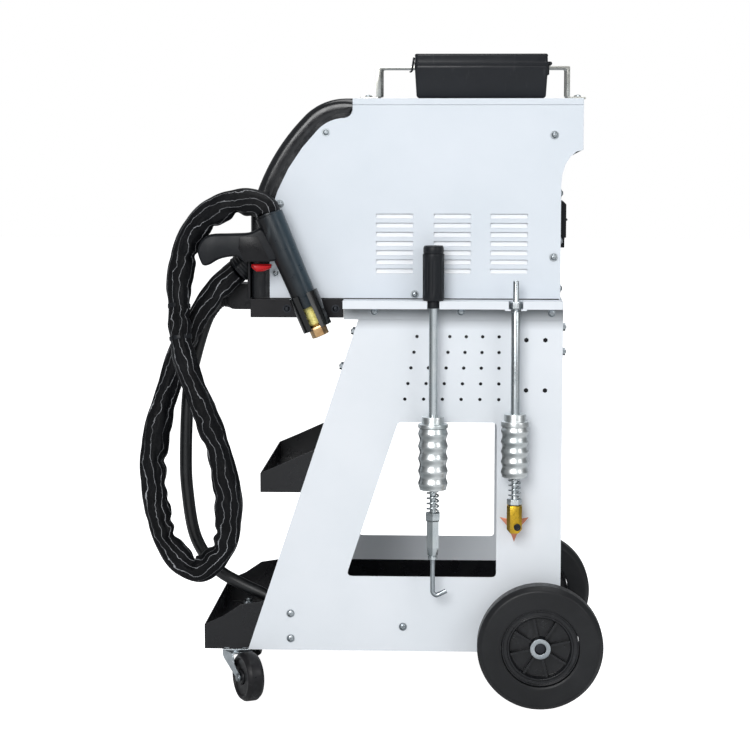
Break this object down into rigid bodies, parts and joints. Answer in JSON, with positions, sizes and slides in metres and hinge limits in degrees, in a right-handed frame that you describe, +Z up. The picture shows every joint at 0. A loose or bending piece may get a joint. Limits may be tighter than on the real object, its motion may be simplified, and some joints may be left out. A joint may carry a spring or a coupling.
{
  "type": "dent pulling spot welder",
  "caption": "Spot welder for pulling dents: a cabinet on a wheeled trolley with trays, a sleeved welding gun in its holder and slide hammers hung at the side.",
  "frame": {"origin": "centre of the footprint at floor level, the box measured without the two free cables and what lies on them", "axes": "+Z up; +X to the rear, where the large wheels are; -X to the front with the controls and the trays; -Y the side with the gun and the hammers"},
  "size_m": [0.739, 0.47, 1.0326],
  "materials": {
    "pale_grey_paint": "fine textured powder coat",
    "black_paint": "fine textured powder coat",
    "black_plastic": "fine moulded grain",
    "grey_plastic": "satin",
    "red_plastic": "satin",
    "rubber_black": "dull",
    "tyre_rubber": "dull",
    "rim_grey": "satin moulded",
    "zinc": "zinc plated",
    "steel": "turned and plated",
    "stainless": "brushed along the strip",
    "brass": "turned",
    "copper": "copper, satin",
    "screen": "gloss",
    "sleeve_fabric": "woven with fine pale lines",
    "winding": "varnished wire"
  },
  "bodies": {
    "trolley": {"near_side_panel": "pale_grey_paint", "far_side_panel": "pale_grey_paint", "deck": "pale_grey_paint", "front_cross_panel": "pale_grey_paint", "rear_cross_panel": "pale_grey_paint", "upper_tray": "black_paint", "lower_tray": "black_paint", "rear_axle": "steel", "near_caster_plate": "zinc", "far_caster_plate": "zinc", "near_cover": "pale_grey_paint", "far_cover": "pale_grey_paint", "top_cover": "pale_grey_paint", "cabinet_base": "pale_grey_paint", "rear_panel": "pale_grey_paint", "front_bezel": "black_plastic", "control_panel": "grey_plastic", "display_window": "screen", "cable_outlet": "black_plastic", "top_handle": "stainless", "breaker_body": "black_plastic", "mains_gland": "black_plastic", "transformer_core": "steel", "transformer_winding": "winding", "toolbox_body": "black_plastic", "gun_barrel": "black_plastic", "gun_grip": "black_plastic", "gun_electrode": "brass", "gun_arm": "black_paint", "gun_cradle": "black_paint", "gun_cable": "sleeve_fabric", "earth_cable": "rubber_black", "earth_cable_coil": "rubber_black", "earth_clamp": "zinc"},
    "near_wheel": {"near_tyre": "tyre_rubber", "near_rim": "rim_grey"},
    "far_wheel": {"far_tyre": "tyre_rubber", "far_rim": "rim_grey"},
    "near_caster": {"near_caster_fork": "zinc"},
    "near_caster_roller": {"near_caster_wheel": "rubber_black"},
    "far_caster": {"far_caster_fork": "zinc"},
    "far_caster_roller": {"far_caster_wheel": "rubber_black"},
    "toolbox_lid": {"toolbox_lid": "black_plastic"},
    "toolbox_clasp": {"toolbox_clasp": "black_plastic"},
    "breaker_lever": {"breaker_lever": "black_plastic"},
    "gun_trigger": {"gun_trigger": "red_plastic"},
    "hook_hammer": {"hook_hammer_grip": "rubber_black", "hook_hammer_rod": "steel", "hook_hammer_hook": "steel", "hook_hammer_spring": "steel"},
    "hook_weight": {"hook_hammer_weight": "steel"},
    "star_hammer": {"star_hammer_rod": "steel", "star_hammer_block": "brass", "star_hammer_star": "copper", "star_hammer_spring": "steel"},
    "star_weight": {"star_hammer_weight": "steel"},
    "selector_knob": {"selector_knob": "black_plastic"},
    "button_start": {"button_start": "red_plastic"},
    "button_mode": {"button_mode": "grey_plastic"}
  },
  "joints": [
    {"name": "near_wheel_spin", "type": "hinge", "parent": "trolley", "child": "near_wheel", "pos_m": [0.22, -0.213, 0.1], "axis": [0, 1, 0], "continuous": true},
    {"name": "far_wheel_spin", "type": "hinge", "parent": "trolley", "child": "far_wheel", "pos_m": [0.22, 0.213, 0.1], "axis": [0, 1, 0], "continuous": true},
    {"name": "near_caster_swivel", "type": "hinge", "parent": "trolley", "child": "near_caster", "pos_m": [-0.269, -0.15, 0.07], "axis": [0, 0, 1], "continuous": true},
    {"name": "near_caster_spin", "type": "hinge", "parent": "near_caster", "child": "near_caster_roller", "pos_m": [-0.2474, -0.19062, 0.0395], "axis": [0.8829, 0.4695, 0], "continuous": true},
    {"name": "far_caster_swivel", "type": "hinge", "parent": "trolley", "child": "far_caster", "pos_m": [-0.269, 0.15, 0.07], "axis": [0, 0, 1], "continuous": true},
    {"name": "far_caster_spin", "type": "hinge", "parent": "far_caster", "child": "far_caster_roller", "pos_m": [-0.269, 0.104, 0.0395], "axis": [1, 0, 0], "continuous": true},
    {"name": "lid_hinge", "type": "hinge", "parent": "trolley", "child": "toolbox_lid", "pos_m": [0.2303, -0.103, 1.0176], "axis": [0, 1, 0], "range_deg": [0, 100]},
    {"name": "clasp_hinge", "type": "hinge", "parent": "toolbox_lid", "child": "toolbox_clasp", "pos_m": [0.01515, -0.103, 1.0269], "axis": [0, 1, 0], "range_deg": [0, 120]},
    {"name": "breaker_switch", "type": "hinge", "parent": "trolley", "child": "breaker_lever", "pos_m": [0.2546, -0.092, 0.772], "axis": [0, 1, 0], "range_deg": [-24, 0]},
    {"name": "trigger_pull", "type": "slide", "parent": "trolley", "child": "gun_trigger", "axis": [-0.3939, 0, 0.9191], "range_m": [0, 0.004], "stiffness_N_per_m": 300, "springref_m": -0.002},
    {"name": "hook_hammer_lift", "type": "slide", "parent": "trolley", "child": "hook_hammer", "axis": [0, 0, 1], "range_m": [0, 0.04]},
    {"name": "hook_weight_slide", "type": "slide", "parent": "hook_hammer", "child": "hook_weight", "axis": [0, 0, 1], "range_m": [0, 0.12]},
    {"name": "star_hammer_lift", "type": "slide", "parent": "trolley", "child": "star_hammer", "axis": [0, 0, 1], "range_m": [0, 0.04]},
    {"name": "star_weight_slide", "type": "slide", "parent": "star_hammer", "child": "star_weight", "axis": [0, 0, 1], "range_m": [0, 0.12]},
    {"name": "selector_turn", "type": "hinge", "parent": "trolley", "child": "selector_knob", "pos_m": [-0.21537, 0, 0.81784], "axis": [-0.9336, 0, 0.3584], "range_deg": [-135, 135]},
    {"name": "button_start_press", "type": "slide", "parent": "trolley", "child": "button_start", "axis": [0.8746, 0, -0.4848], "range_m": [0, 0.003], "stiffness_N_per_m": 300, "springref_m": -0.002},
    {"name": "button_mode_press", "type": "slide", "parent": "trolley", "child": "button_mode", "axis": [0.8746, 0, -0.4848], "range_m": [0, 0.003], "stiffness_N_per_m": 300, "springref_m": -0.002}
  ]
}
